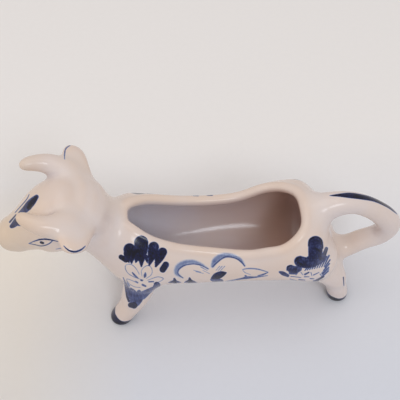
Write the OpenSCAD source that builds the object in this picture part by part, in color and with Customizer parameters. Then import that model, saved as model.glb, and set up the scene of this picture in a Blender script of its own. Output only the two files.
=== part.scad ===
// Cow creamer: a standing cow of glazed earthenware that holds and pours cream.
// The back is open as a pear-shaped rim, the mouth is the pouring hole and the tail is the handle.
// The head points along -X, the tail along +X, and the hooves stand on z = 0.
// Each member is a piece of clay that is luted to the next one on a flat seat.

/* [Trunk] */
// Length of the trunk from chest to rump
trunk_len = 112.5; // [100:0.5:125]
// Width of the trunk at the haunches
trunk_w = 50; // [46:0.5:54]
// Height of the withers above the table
back_h = 78; // [74:0.5:84]
// Height of the belly above the table
belly_h = 27; // [24:0.5:31]
// Thickness of the clay wall
wall = 4; // [3:0.1:5]
// Roundness of the chest, measured along the trunk
chest_round = 17; // [12:0.5:20]
// Roundness of the rump, measured along the trunk
rump_round = 16; // [11:0.5:20]

/* [Opening in the back] */
// Length of the opening at the middle of its rim
opening_len = 86; // [76:0.5:90]
// Width of the opening at the middle of its rim
opening_w = 32.5; // [28:0.5:34]
// Distance of the opening from the chest
opening_start = 12; // [10:0.5:15]
// Radius of the rounded rim
rim_r = 2.6; // [2.2:0.1:3]

/* [Neck and head] */
// Distance of the muzzle in front of the chest
head_reach = 45.6; // [40:0.5:50]
// Height of the crown of the head above the table
crown_h = 96; // [90:0.5:102]
// Width of the head at the eyes
head_w = 31; // [28:0.5:35]
// Depth of the head at the eyes
head_d = 29; // [26:0.5:32]
// Width of the neck at its seat
neck_w = 30; // [27:0.5:33]
// Depth of the neck at its seat
neck_d = 27; // [25:0.5:30]
// Radius of the pouring hole in the mouth
mouth_r = 4; // [3.4:0.1:4.4]

/* [Horns and ears] */
// Length of a horn from its root inside the head
horn_len = 22; // [18:0.5:26]
// Thickness of a horn at its seat
horn_d = 11.5; // [9:0.5:13]
// Reach of the ears to each side of the middle
ear_reach = 28.5; // [26:0.5:32]
// Width of an ear leaf
ear_w = 11; // [9:0.5:13]
// Thickness of an ear leaf
ear_t = 6; // [4:0.5:7]

/* [Legs] */
// Height of the seats where the legs join the trunk
leg_h = 25; // [21:0.5:26.5]
// Distance between the middles of the front hooves
fore_stance_w = 28.5; // [24:0.5:31]
// Distance between the middles of the rear hooves
hind_stance_w = 25.5; // [22:0.5:29]
// Thickness of a front leg at its seat
foreleg_d = 15.5; // [13:0.5:18]
// Thickness of a rear leg at its seat
hindleg_d = 19; // [16:0.5:21]
// Thickness of a leg at the hoof
hoof_d = 11.6; // [9:0.2:14]
// Distance that the left front hoof stands forward of its seat
left_fore_stride = 10.5; // [7:0.5:13]
// Distance that the right front hoof stands forward of its seat
right_fore_stride = 5; // [3:0.5:13]
// Distance that the rear hooves stand behind their seats
hind_stride = 8.8; // [5:0.2:11]

/* [Tail handle] */
// Distance of the tail's bend behind the rump
tail_reach = 35.6; // [32:0.5:42]
// Thickness of the tail
tail_d = 10.2; // [8:0.2:12]
// Height of the top of the tail arch above the table
tail_h = 73; // [70:0.5:77]
// Height of the lower end of the tail above the table
tail_foot_h = 29.5; // [28.5:0.5:33]

/* [Hidden] */

// Colour of the glazed white clay
glaze_white = [0.93, 0.89, 0.86];
// Length by which a cut runs past the clay
overrun = 30;
// Faces round a limb, round the trunk and along the trunk
limb_sides = 16;
trunk_sides = 34;
trunk_rings = 31;
// Faces round the hollow and along it
hollow_sides = 22;
hollow_rings = 18;
// Faces along the rim and round it
rim_steps = 46;
rim_sides = 8;
// Rings along the neck, the face, a horn, an ear, a leg, the tail and its stumps
neck_rings = 8;
face_rings = 14;
horn_rings = 8;
ear_rings = 8;
leg_rings = 10;
tail_rings = 28;
stump_rings = 6;
// Faces round a ball of clay
hull_faces = 20;
// Fullness of the sections: 2 is an ellipse, larger is squarer
trunk_fullness = 2.2;
limb_fullness = 2.1;
// Smallest size that a rounded end closes to, as a share of its section
end_share = 0.12;
// Part of a path over which its direction is measured
path_step_share = 0.02;

// Places along the length, from the muzzle at the left to the tail's bend at the right
total_len = head_reach + trunk_len + tail_reach;
muzzle_x = -total_len / 2;
chest_x = muzzle_x + head_reach;
rump_x = chest_x + trunk_len;

// Trunk stations: place along trunk_len, half width of trunk_w / 2, top of back_h, bottom of belly_h
trunk_shares = [
    [0, 0.73, 0.87, 1.35],
    [0.09, 0.815, 0.985, 1.18],
    [0.19, 0.845, 0.965, 1.09],
    [0.34, 0.855, 0.89, 1.08],
    [0.49, 0.87, 0.85, 1.075],
    [0.61, 0.9, 0.85, 1.06],
    [0.72, 0.96, 0.91, 1.02],
    [0.84, 1, 0.925, 0.98],
    [0.93, 0.97, 0.895, 0.98],
    [1, 0.87, 0.82, 1.1]
];
// Height of the widest level between the belly and the back
widest_share = 0.5;
// Half width of the opening at nine even places along it, of opening_w / 2
opening_shares = [0.6, 0.78, 0.83, 0.87, 0.9, 0.95, 1.05, 1.16, 0.95];
// Size of the level face that the cut through the back starts from
cut_floor_share = 0.6;
// Bluntness of the ends of the opening: 1 is an ellipse
opening_blunt_share = 0.55;

// Neck stations: x from the chest in head_reach, z in crown_h, half width of neck_w, half depth of neck_d
neck_shares = [
    [-0.33, 0.542, 0.62, 0.62],
    [-0.175, 0.63, 0.55, 0.55],
    [-0.044, 0.708, 0.485, 0.48],
    [0.088, 0.792, 0.485, 0.48],
    [0.197, 0.865, 0.465, 0.44]
];
// Where the head is luted to the neck, along the neck's path
neck_seat_share = 0.6;
// Part of the neck's path by which the passage runs past the seat
neck_pass_share = 0.12;
// Face stations: x from the chest in head_reach, z in crown_h, half width of head_w, half depth of head_d
face_shares = [
    [0.064, 0.896, 0.355, 0.38],
    [0.217, 0.88, 0.5, 0.483],
    [0.43, 0.823, 0.484, 0.5],
    [0.693, 0.745, 0.365, 0.338],
    [0.851, 0.703, 0.29, 0.27],
    [1, 0.672, 0.24, 0.235]
];
// Parts of the face's path that round off the skull and the muzzle
skull_round_share = 0.2;
muzzle_round_share = 0.18;
// Bulges of the head: x from the chest in head_reach, y in head_w, z in crown_h, radius in head_d
poll_shares = [[0.327, 0.26, 0.9375, 0.17], [0.327, -0.26, 0.9375, 0.17]];
brow_shares = [[0.4, 0.34, 0.875, 0.15], [0.56, 0.3, 0.82, 0.12]];
cheek_shares = [[0.3, 0.3, 0.8, 0.2], [0.5, 0.25, 0.74, 0.17]];
lip_shares = [[0.72, 0.2, 0.69, 0.15], [0.84, 0.15, 0.675, 0.15], [0.93, 0.06, 0.665, 0.14]];

// Horn path: its root as x in head_reach, y in head_w and z in crown_h
horn_root_shares = [0.195, 0.306, 0.927];
// Horn stations from the root: x, y and z in horn_len, half thickness of horn_d
horn_shares = [
    [0, 0, 0, 0.55],
    [-0.11, 0.2, 0.14, 0.51],
    [-0.41, 0.32, 0.3, 0.4],
    [-0.7, 0.27, 0.43, 0.3],
    [-0.94, 0.145, 0.52, 0.225]
];
// Ear stations: x in head_reach, y in ear_reach, z in crown_h, half width of ear_w, half thickness of ear_t
ear_shares = [
    [0.09, 0.3, 0.89, 0.68, 0.9],
    [0.13, 0.6, 0.937, 0.56, 0.55],
    [0.16, 0.8, 0.959, 0.53, 0.43],
    [0.178, 0.93, 0.961, 0.42, 0.37],
    [0.185, 1, 0.957, 0.3, 0.32]
];
// Seats of the horns and ears along their paths, and the part that rounds off their tips
horn_seat_share = 0.25;
ear_seat_share = 0.25;
horn_round_share = 0.15;
ear_round_share = 0.3;

// Places of the leg seats along trunk_len
fore_seat_share = 0.13;
hind_seat_share = 1;
// Leg stations: along the stride, y in half the stance, z in leg_h, half thickness of seat and of hoof
foreleg_shares = [
    [-0.5, 0.75, 1.8, 0.6, 0],
    [0, 0.9, 1, 0.5, 0],
    [0.32, 0.96, 0.6, 0.25, 0.23],
    [0.7, 1, 0.3, 0, 0.5],
    [1, 1, 0.04, 0, 0.51],
    [1, 1, 0, 0, 0.46]
];
hindleg_shares = [
    [-1.5, 0.75, 1.75, 0.7, 0],
    [0, 0.98, 1, 0.5, 0],
    [0.42, 1.02, 0.6, 0.27, 0.25],
    [0.78, 1.02, 0.3, 0, 0.54],
    [1, 1, 0.04, 0, 0.51],
    [1, 1, 0, 0, 0.46]
];
// Seat of a leg along its path
leg_seat_share = 0.2;
// Muscle over a leg: along the stride, y in half the stance, z in leg_h, radius of seat
shoulder_shares = [[-0.6, 0.6, 1.9, 0.58], [-0.3, 0.78, 1.65, 0.54], [-0.05, 0.88, 1.42, 0.48]];
haunch_shares = [[-1.6, 0.75, 1.8, 0.66], [-0.9, 0.9, 1.62, 0.6], [-0.4, 0.98, 1.45, 0.49]];

// Tail stations behind the rump: x in tail_reach, z from tail_foot_h to tail_h, half thickness of tail_d
tail_shares = [
    [-0.35, 0.744, 0.72],
    [-0.07, 0.884, 0.6],
    [0.253, 0.888, 0.51],
    [0.59, 0.7, 0.49],
    [0.85, 0.43, 0.52],
    [0.8, 0.2, 0.49],
    [0.55, 0.08, 0.5],
    [0.253, 0.02, 0.5],
    [-0.3, 0.2, 0.55]
];
// Upper and lower seat of the tail along its path
tail_seat_shares = [0.16, 0.9];

// Row of a table at share u of its length, on a smooth curve through every row
function smooth_row(rows, u) =
    let (last = len(rows) - 1,
         i = min(floor(u * last), last - 1),
         f = u * last - i,
         a = rows[max(i - 1, 0)],
         b = rows[i],
         c = rows[i + 1],
         d = rows[min(i + 2, last)])
    (2 * b + (c - a) * f + (2 * a - 5 * b + 4 * c - d) * f * f
     + (3 * b - a - 3 * c + d) * f * f * f) / 2;

function unit(v) = v / norm(v);
function xyz(row) = [row[0], row[1], row[2]];
function signed_power(v, e) = sign(v) * pow(abs(v), e);
// Quarter-circle rise from a rounded end, at distance d of a rounding r
function dome(d, r) = d < r ? max(sqrt(max(1 - pow(1 - d / r, 2), 0)), end_share) : 1;
// Even steps from 0 to 1 that crowd at both ends, or at the far end only
function eased_ends(i, count) = (1 - cos(180 * i / count)) / 2;
function eased_tip(i, count) = sin(90 * i / count);

// One closed ring of points square to its travel, rounder or squarer by its fullness
function ring(mid, travel, side_axis, side, up, down, fullness, sides) =
    let (up_axis = cross(travel, side_axis))
    [for (i = [0 : sides - 1])
        let (t = 360 * i / sides,
             rise = signed_power(sin(t), 2 / fullness))
        mid + side_axis * side * signed_power(cos(t), 2 / fullness)
            + up_axis * rise * (rise > 0 ? up : down)];

// Solid through a list of rings with equal numbers of points
module loft(rings) {
    sides = len(rings[0]);
    last = len(rings) - 1;
    points = [for (r = rings) each r];
    walls = [for (i = [0 : last - 1], j = [0 : sides - 1])
        let (k = (j + 1) % sides)
        each [[i * sides + j, (i + 1) * sides + j, (i + 1) * sides + k],
              [i * sides + j, (i + 1) * sides + k, i * sides + k]]];
    first_cap = [for (j = [0 : sides - 1]) j];
    last_cap = [for (j = [sides - 1 : -1 : 0]) last * sides + j];
    polyhedron(points, concat([first_cap], walls, [last_cap]));
}

// Rings square to a smooth path through rows of x, y, z, half width and half thickness
function path_rings(rows, side_hint, from, to, count, sides, start_round = 0, tip_round = 0) =
    [for (i = [0 : count])
        let (reach = start_round > 0 ? eased_ends(i, count) : tip_round > 0 ? eased_tip(i, count) : i / count,
             u = from + (to - from) * reach,
             row = smooth_row(rows, u),
             ahead = xyz(smooth_row(rows, min(u + path_step_share, 1))),
             behind = xyz(smooth_row(rows, max(u - path_step_share, 0))),
             travel = unit(ahead - behind),
             side_axis = unit(side_hint - travel * (side_hint * travel)),
             close = dome(u, start_round) * dome(1 - u, tip_round))
        ring(xyz(row), travel, side_axis, row[3] * close, row[4] * close, row[4] * close,
             limb_fullness, sides)];

// Level rings down a leg through rows of x, y, z and radius
function level_rings(rows, from, to, count) =
    [for (i = [0 : count])
        let (row = smooth_row(rows, from + (to - from) * i / count))
        ring(xyz(row), [0, 0, -1], [1, 0, 0], row[3], row[3], row[3], limb_fullness, limb_sides)];

// Trunk
function trunk_row(u) = smooth_row(trunk_shares, u);
function trunk_middle(row) = let (top = row[2] * back_h, bottom = row[3] * belly_h)
    bottom + (top - bottom) * widest_share;
function trunk_close(x, inset) =
    dome(x - chest_x - inset, chest_round - inset) * dome(rump_x - x - inset, rump_round - inset);
function trunk_ring(u, inset, sides) =
    let (row = trunk_row(u),
         x = chest_x + inset + (trunk_len - 2 * inset) * row[0],
         close = trunk_close(x, inset),
         mid_z = trunk_middle(row))
    ring([x, 0, mid_z], [1, 0, 0], [0, 1, 0], (row[1] * trunk_w / 2 - inset) * close,
         (row[2] * back_h - mid_z - inset) * close, (mid_z - row[3] * belly_h - inset) * close,
         trunk_fullness, sides);

module trunk_form(inset, count, sides) {
    loft([for (i = [0 : count]) trunk_ring(eased_ends(i, count), inset, sides)]);
}

// Height of the middle of the wall over the point x, y
trunk_steps = 60;
trunk_fine = [for (i = [0 : trunk_steps]) trunk_row(i / trunk_steps)];
function trunk_look(along, column) = lookup(along, [for (row = trunk_fine) [row[0], row[column]]]);
function wall_height(x, y) =
    let (along = (x - chest_x) / trunk_len,
         row = [along, trunk_look(along, 1), trunk_look(along, 2), trunk_look(along, 3)],
         close = trunk_close(x, 0),
         side = (row[1] * trunk_w / 2) * close - wall / 2,
         mid_z = trunk_middle(row))
    mid_z + ((row[2] * back_h - mid_z) * close - wall / 2)
          * pow(1 - pow(min(abs(y) / side, 1), trunk_fullness), 1 / trunk_fullness);

// Point of the rim at turn t
function rim_plan(t) =
    let (along = (1 - cos(t)) / 2,
         half = smooth_row([for (s = opening_shares) [s, 0]], along)[0] * opening_w / 2)
    [chest_x + opening_start + opening_len * along,
     half * signed_power(sin(t), opening_blunt_share)];
function rim_point(t) = let (p = rim_plan(t)) [p[0], p[1], wall_height(p[0], p[1])];
function rim_ring(t) =
    let (turn = 360 / rim_steps,
         travel = unit(rim_point(t + turn / 2) - rim_point(t - turn / 2)),
         side_axis = unit(cross([0, 0, 1], travel)))
    ring(rim_point(t), travel, side_axis, rim_r, rim_r, rim_r, 2, rim_sides);

// Rounded rim: a tube whose last ring meets the first one
module rim_bead() {
    points = [for (i = [0 : rim_steps - 1]) each rim_ring(360 * (i + 0.5) / rim_steps)];
    polyhedron(points, [for (i = [0 : rim_steps - 1], j = [0 : rim_sides - 1])
        let (n = ((i + 1) % rim_steps) * rim_sides, k = (j + 1) % rim_sides, m = i * rim_sides)
        each [[m + j, n + j, n + k], [m + j, n + k, m + k]]]);
}

// Cut through the wall, square to it all round the rim, that starts as a level face inside the hollow
widest_z = belly_h + (back_h - belly_h) * widest_share;
opening_mid_x = chest_x + opening_start + opening_len / 2;
function rim_normal(p) = unit([0, p[1], p[2] - widest_z]);
module opening_cut() {
    rim_points = [for (i = [rim_steps : -1 : 1]) rim_point(360 * i / rim_steps)];
    loft([
        [for (p = rim_points)
            [opening_mid_x + (p[0] - opening_mid_x) * cut_floor_share, p[1] * cut_floor_share, widest_z]],
        [for (p = rim_points) p - rim_normal(p) * wall],
        [for (p = rim_points) p + rim_normal(p) * overrun]
    ]);
}

// Neck and face
function head_x(share) = chest_x - share * head_reach;
function shrunk(rows, amount) = [for (r = rows) [r[0], r[1], r[2], r[3] - amount, r[4] - amount]];
neck_rows = [for (s = neck_shares) [head_x(s[0]), 0, s[1] * crown_h, s[2] * neck_w, s[3] * neck_d]];
face_rows = [for (s = face_shares) [head_x(s[0]), 0, s[1] * crown_h, s[2] * head_w, s[3] * head_d]];

module neck_form(from, to, inset) {
    loft(path_rings(shrunk(neck_rows, inset), [0, -1, 0], from, to, neck_rings, hollow_sides));
}

module face_form(inset) {
    loft(path_rings(shrunk(face_rows, inset), [0, -1, 0], inset > 0 ? skull_round_share / 2 : 0,
                    inset > 0 ? 1 - muzzle_round_share : 1, face_rings, hollow_sides,
                    skull_round_share, inset > 0 ? 0 : muzzle_round_share));
}

// Pouring hole: a bore from the hollow of the face out through the mouth
module mouth_bore() {
    start = xyz(face_rows[len(face_rows) - 3]);
    aim = unit(xyz(face_rows[len(face_rows) - 1]) - start);
    translate(start)
        rotate([0, acos(aim[2]), atan2(aim[1], aim[0])])
            cylinder(h = overrun, r = mouth_r, $fn = hollow_sides);
}

// Rounded bulge through balls at x, y, z with radius, given as shares of the head
module bulge(stations, side) {
    for (i = [1 : len(stations) - 1])
        hull()
            for (s = [stations[i - 1], stations[i]])
                translate([head_x(s[0]), side * s[1] * head_w, s[2] * crown_h])
                    sphere(s[3] * head_d, $fn = hull_faces);
}

// Horns and ears: side is -1 at the cow's left
function horn_rows(side) =
    let (root = [head_x(horn_root_shares[0]), side * horn_root_shares[1] * head_w,
                 horn_root_shares[2] * crown_h])
    [for (s = horn_shares)
        [root[0] + s[0] * horn_len, root[1] + side * s[1] * horn_len, root[2] + s[2] * horn_len,
         s[3] * horn_d, s[3] * horn_d]];
function ear_rows(side) =
    [for (s = ear_shares)
        [head_x(s[0]), side * s[1] * ear_reach, s[2] * crown_h, s[3] * ear_w, s[4] * ear_t]];

module horn_form(side, from, to) {
    loft(path_rings(horn_rows(side), [0, 0, 1], from, to, horn_rings, limb_sides,
                    0, to < 1 ? 0 : horn_round_share));
}

module ear_form(side, from, to) {
    loft(path_rings(ear_rows(side), [1, 0, 0], from, to, ear_rings, limb_sides,
                    0, to < 1 ? 0 : ear_round_share));
}

// Legs: end is 1 at the front and -1 at the rear, side is -1 at the cow's left
function leg_point(end, side, share) =
    [chest_x + trunk_len * (end > 0 ? fore_seat_share : hind_seat_share)
         + share[0] * (end < 0 ? hind_stride : side < 0 ? -left_fore_stride : -right_fore_stride),
     side * share[1] * (end > 0 ? fore_stance_w : hind_stance_w) / 2, share[2] * leg_h];
function seat_thickness(end) = end > 0 ? foreleg_d : hindleg_d;
function leg_rows(end, side) =
    [for (s = end > 0 ? foreleg_shares : hindleg_shares)
        [each leg_point(end, side, s), s[3] * seat_thickness(end) + s[4] * hoof_d]];

module leg_form(end, side, from, to) {
    loft(level_rings(leg_rows(end, side), from, to, leg_rings));
}

// Shoulder or haunch muscle that rises into the trunk over a leg
module muscle(end, side) {
    stations = end > 0 ? shoulder_shares : haunch_shares;
    for (i = [1 : len(stations) - 1])
        hull()
            for (s = [stations[i - 1], stations[i]])
                translate(leg_point(end, side, s))
                    sphere(s[3] * seat_thickness(end), $fn = hull_faces);
}

// Tail
tail_rows = [for (s = tail_shares)
    [rump_x + s[0] * tail_reach, 0, tail_foot_h + s[1] * (tail_h - tail_foot_h),
     s[2] * tail_d, s[2] * tail_d]];
module tail_form(from, to, count) {
    loft(path_rings(tail_rows, [0, 1, 0], from, to, count, limb_sides));
}

// Trunk with its hollow, its stumps for the limbs and its rounded rim
module body_shell() {
    color(glaze_white) {
        difference() {
            union() {
                trunk_form(0, trunk_rings, trunk_sides);
                neck_form(0, neck_seat_share, 0);
                for (end = [1, -1], side = [-1, 1]) {
                    leg_form(end, side, 0, leg_seat_share);
                    muscle(end, side);
                }
                tail_form(0, tail_seat_shares[0], stump_rings);
                tail_form(tail_seat_shares[1], 1, stump_rings);
            }
            trunk_form(wall, hollow_rings, hollow_sides);
            neck_form(0, neck_seat_share + neck_pass_share, wall);
            opening_cut();
            for (end = [1, -1], side = [-1, 1])
                leg_form(end, side, leg_seat_share, 1);
            tail_form(tail_seat_shares[0], tail_seat_shares[1], tail_rings);
        }
        rim_bead();
    }
}

module head() {
    color(glaze_white)
        difference() {
            union() {
                neck_form(neck_seat_share, 1, 0);
                face_form(0);
                bulge(poll_shares, 1);
                for (side = [-1, 1]) {
                    bulge(brow_shares, side);
                    bulge(cheek_shares, side);
                    bulge(lip_shares, side);
                    horn_form(side, 0, horn_seat_share);
                    ear_form(side, 0, ear_seat_share);
                }
            }
            neck_form(neck_seat_share - neck_pass_share, 1, wall);
            face_form(wall);
            mouth_bore();
            for (side = [-1, 1]) {
                horn_form(side, horn_seat_share, 1);
                ear_form(side, ear_seat_share, 1);
            }
        }
}

module left_horn() {
    color(glaze_white) horn_form(-1, horn_seat_share, 1);
}

module right_horn() {
    color(glaze_white) horn_form(1, horn_seat_share, 1);
}

// Ear leaf, cut back where it lies against the horn
module ear_leaf(side) {
    color(glaze_white)
        difference() {
            ear_form(side, ear_seat_share, 1);
            horn_form(side, horn_seat_share, 1);
        }
}

module left_ear() {
    ear_leaf(-1);
}

module right_ear() {
    ear_leaf(1);
}

module front_left_leg() {
    color(glaze_white) leg_form(1, -1, leg_seat_share, 1);
}

module front_right_leg() {
    color(glaze_white) leg_form(1, 1, leg_seat_share, 1);
}

module rear_left_leg() {
    color(glaze_white) leg_form(-1, -1, leg_seat_share, 1);
}

module rear_right_leg() {
    color(glaze_white) leg_form(-1, 1, leg_seat_share, 1);
}

module tail_handle() {
    color(glaze_white) tail_form(tail_seat_shares[0], tail_seat_shares[1], tail_rings);
}

body_shell();
head();
left_horn();
right_horn();
left_ear();
right_ear();
front_left_leg();
front_right_leg();
rear_left_leg();
rear_right_leg();
tail_handle();
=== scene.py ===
# %% [markdown]
# # A cow creamer of glazed earthenware
# The real creamer is clay in several members, luted together with slip, painted with cobalt blue and
# covered with one clear glaze. After the firing no joint shows: the glaze runs over every seat and
# leaves a soft fillet in each corner.
# A mesh for each member with a hard line between them would look like a kit, and sculpting the skin by
# hand is hard to repeat. So each member is made as a simple loft, the lofts become distance fields, and
# the fields are melted together. One skin is drawn round the result and then parted at the seats, so
# that every CAD node still has a visual piece of its own.

# %% Load the shared frame
import math
import bmesh
import bpy
import numpy as np
import openvdb
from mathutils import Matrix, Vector


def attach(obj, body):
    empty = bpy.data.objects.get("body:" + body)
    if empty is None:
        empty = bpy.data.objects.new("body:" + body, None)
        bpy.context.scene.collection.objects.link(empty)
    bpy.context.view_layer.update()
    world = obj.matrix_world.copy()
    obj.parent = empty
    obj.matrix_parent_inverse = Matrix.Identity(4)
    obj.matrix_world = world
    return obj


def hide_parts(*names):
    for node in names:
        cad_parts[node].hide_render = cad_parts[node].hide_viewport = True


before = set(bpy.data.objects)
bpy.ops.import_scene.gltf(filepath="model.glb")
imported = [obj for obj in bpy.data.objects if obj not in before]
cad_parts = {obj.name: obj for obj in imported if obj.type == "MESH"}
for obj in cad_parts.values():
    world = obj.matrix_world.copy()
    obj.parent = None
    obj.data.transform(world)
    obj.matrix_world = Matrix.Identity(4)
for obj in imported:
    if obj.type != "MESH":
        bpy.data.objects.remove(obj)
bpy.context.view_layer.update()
MM = 0.001
print("nodes in the frame:", sorted(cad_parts))

# %% [markdown]
# ## The driving sizes
# These are the sizes in millimetres that the CAD model is built from, so the skin follows its solids.
# They could be measured from the solids, but then a changed size would be hard to find. A few forms are
# refined in this script, because a glazed skin shows them: the hind legs and the tail are a little
# slimmer, the muzzle is raised, the ears hang forward, the nape is fuller, and the opening is one
# millimetre shorter and wider at the rear. The cow stands on z = 0, its muzzle points along -X and its
# left side is -Y.

# %% Driving sizes in millimetres
TRUNK_LEN, TRUNK_W, BACK_H, BELLY_H, WALL = 112.5, 50.0, 78.0, 27.0, 4.0
CHEST_ROUND, RUMP_ROUND = 17.0, 16.0
OPENING_LEN, OPENING_W, OPENING_START, RIM_R = 85.0, 32.5, 12.0, 2.6
HEAD_REACH, CROWN_H, HEAD_W, HEAD_D = 45.6, 96.0, 31.0, 29.0
NECK_W, NECK_D, MOUTH_R = 30.0, 27.0, 4.0
HORN_LEN, HORN_D, EAR_REACH, EAR_W, EAR_T = 22.0, 11.5, 28.5, 11.0, 6.0
LEG_H, FORE_STANCE, HIND_STANCE = 25.0, 28.5, 25.5
FORELEG_D, HINDLEG_D, HOOF_D = 15.5, 19.0, 11.6
LEFT_FORE_STRIDE, RIGHT_FORE_STRIDE, HIND_STRIDE = 10.5, 5.0, 8.8
TAIL_REACH, TAIL_D, TAIL_H, TAIL_FOOT_H = 35.6, 10.2, 73.0, 29.5
MUZZLE_X = -(HEAD_REACH + TRUNK_LEN + TAIL_REACH) / 2
CHEST_X = MUZZLE_X + HEAD_REACH
RUMP_X = CHEST_X + TRUNK_LEN
print("length of the cow in mm:", round(-2 * MUZZLE_X, 1))

# %% [markdown]
# ## Lofts
# Every member is a row of stations: a place on its middle line and the size of its section there. A
# smooth curve through the stations gives as many sections as wanted, and a skin over them gives a
# closed loft. Few stations keep the form easy to change, and the curve keeps it free of bumps.

# %% Smooth curve through a table of stations
def smooth_rows(rows, shares):
    """Rows of the table at shares 0 to 1 of its length, on a curve through every station."""
    rows = np.asarray(rows, float)
    last = len(rows) - 1
    place = np.clip(np.asarray(shares, float), 0, 1) * last
    i = np.minimum(place.astype(int), last - 1)
    f = (place - i)[:, None]
    a, b = rows[np.maximum(i - 1, 0)], rows[i]
    c, d = rows[i + 1], rows[np.minimum(i + 2, last)]
    return (2 * b + (c - a) * f + (2 * a - 5 * b + 4 * c - d) * f**2 + (3 * b - a - 3 * c + d) * f**3) / 2


def unit(v):
    return v / np.maximum(np.linalg.norm(v, axis=-1, keepdims=True), 1e-9)


def dome(distance, radius):
    """Share of the full section at that distance from a rounded end."""
    if radius <= 0:
        return np.ones_like(distance)
    inside = np.clip(1 - distance / radius, 0, 1)
    return np.maximum(np.sqrt(1 - inside**2), 0.04)


# %% Skin over a row of rings
SIDES = 72


def section(fullness):
    """Points of a unit section: fullness 2 is an ellipse and more is squarer."""
    t = np.arange(SIDES) * 2 * math.pi / SIDES
    c, s = np.cos(t), np.sin(t)
    power = 2 / fullness
    return np.sign(c) * np.abs(c)**power, np.sign(s) * np.abs(s)**power


def loft(rings, closed=False):
    """Points and triangles of the skin over the rings, capped at both ends or joined into a loop."""
    count, sides = rings.shape[:2]
    points = rings.reshape(-1, 3)
    i = np.arange(count if closed else count - 1)[:, None]
    j = np.arange(sides)[None, :]
    here, there = i * sides, ((i + 1) % count) * sides
    k = (j + 1) % sides
    quads = np.stack([here + j, there + j, there + k, here + k], -1).reshape(-1, 4)
    triangles = [quads[:, [0, 1, 2]], quads[:, [0, 2, 3]]]
    if not closed:
        first, second = len(points), len(points) + 1
        points = np.vstack([points, rings[0].mean(0), rings[-1].mean(0)])
        j, k = j[0], k[0]
        base = (count - 1) * sides
        triangles.append(np.stack([np.full(sides, first), j, k], -1))
        triangles.append(np.stack([np.full(sides, second), base + k, base + j], -1))
    return points, np.vstack(triangles)


def path_loft(rows, side_hint, start=0.0, end=1.0, start_round=0.0, tip_round=0.0, count=80, level=False):
    """Loft square to the path through rows of x, y, z, half width and half thickness."""
    u = start + (end - start) * (1 - np.cos(np.linspace(0, math.pi, count))) / 2
    row = smooth_rows(rows, u)
    travel = unit(smooth_rows(rows, u + 0.01)[:, :3] - smooth_rows(rows, u - 0.01)[:, :3])
    if level:
        travel = np.tile([0.0, 0.0, -1.0], (count, 1))
    hint = np.asarray(side_hint, float)
    side = unit(hint - travel * (travel @ hint)[:, None])
    up = np.cross(travel, side)
    close = dome(u, start_round) * dome(1 - u, tip_round)
    c, s = section(2.1)
    wide = (row[:, 3] * close)[:, None, None] * side[:, None, :] * c[None, :, None]
    tall = (row[:, 4] * close)[:, None, None] * up[:, None, :] * s[None, :, None]
    return loft(row[:, None, :3] + wide + tall)


print("loft tools ready with", SIDES, "points to a ring")

# %% [markdown]
# ## The trunk and its opening
# The back of the real cow is open: the hollow is filled through it and cleaned through it. Its rim is a
# rounded bead that rises over the withers and the rump. The section of the trunk is a little squarer
# than an ellipse, as on a slip-cast body. The opening was cut by hand, so it is pear-shaped, and its rear
# end leans a little to the left. A flat cut with a modifier would leave the rim level, so the edge is laid
# on the wall itself and the bead follows it.

# %% Trunk
TRUNK_STATIONS = [  # place along the trunk, half width, top, bottom, each as a share of its driving size
    (0, 0.73, 0.87, 1.35), (0.09, 0.815, 0.985, 1.18), (0.19, 0.845, 0.965, 1.09), (0.34, 0.855, 0.89, 1.08),
    (0.49, 0.87, 0.85, 1.075), (0.61, 0.9, 0.85, 1.06), (0.72, 0.96, 0.91, 1.02), (0.84, 1, 0.925, 0.98),
    (0.93, 0.97, 0.895, 0.98), (1, 0.87, 0.82, 1.1)]
TRUNK_FULLNESS = 2.2
WIDEST_Z = (BELLY_H + BACK_H) / 2


def trunk_close(x, inset):
    return dome(x - CHEST_X - inset, CHEST_ROUND - inset) * dome(RUMP_X - x - inset, RUMP_ROUND - inset)


def trunk_loft(inset):
    u = (1 - np.cos(np.linspace(0, math.pi, 120))) / 2
    row = smooth_rows(TRUNK_STATIONS, u)
    x = CHEST_X + inset + (TRUNK_LEN - 2 * inset) * row[:, 0]
    close = trunk_close(x, inset)
    top, bottom = row[:, 2] * BACK_H, row[:, 3] * BELLY_H
    middle = (top + bottom) / 2
    c, s = section(TRUNK_FULLNESS)
    half = (row[:, 1] * TRUNK_W / 2 - inset) * close
    rise = ((top - middle) - inset) * close
    along = np.repeat(x[:, None], SIDES, 1)
    return loft(np.stack([along, half[:, None] * c, middle[:, None] + rise[:, None] * s], -1))


print("trunk from x =", round(CHEST_X, 1), "to", round(RUMP_X, 1), "mm")

# %% Rim of the opening
OPENING_SHARES = [0.68, 0.86, 0.88, 0.88, 0.91, 0.99, 1.12, 1.28, 1.25]
OPENING_BLUNT = 0.55
OPENING_LEAN = 2.0  # how far the rear end leans to the left
FLOOR_SHARE, CUT_RISE = 0.6, 30.0
RIM_STEPS = 160


def wall_height(x, y):
    """Height of the middle of the clay wall over the points x, y."""
    fine = smooth_rows(TRUNK_STATIONS, np.linspace(0, 1, 200))
    along = (x - CHEST_X) / TRUNK_LEN
    half, top, bottom = (np.interp(along, fine[:, 0], fine[:, k]) for k in (1, 2, 3))
    top, bottom = top * BACK_H, bottom * BELLY_H
    close = trunk_close(x, 0)
    middle = (top + bottom) / 2
    side = half * TRUNK_W / 2 * close - WALL / 2
    drop = (1 - np.minimum(np.abs(y) / side, 1)**TRUNK_FULLNESS)**(1 / TRUNK_FULLNESS)
    return middle + ((top - middle) * close - WALL / 2) * drop


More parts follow.
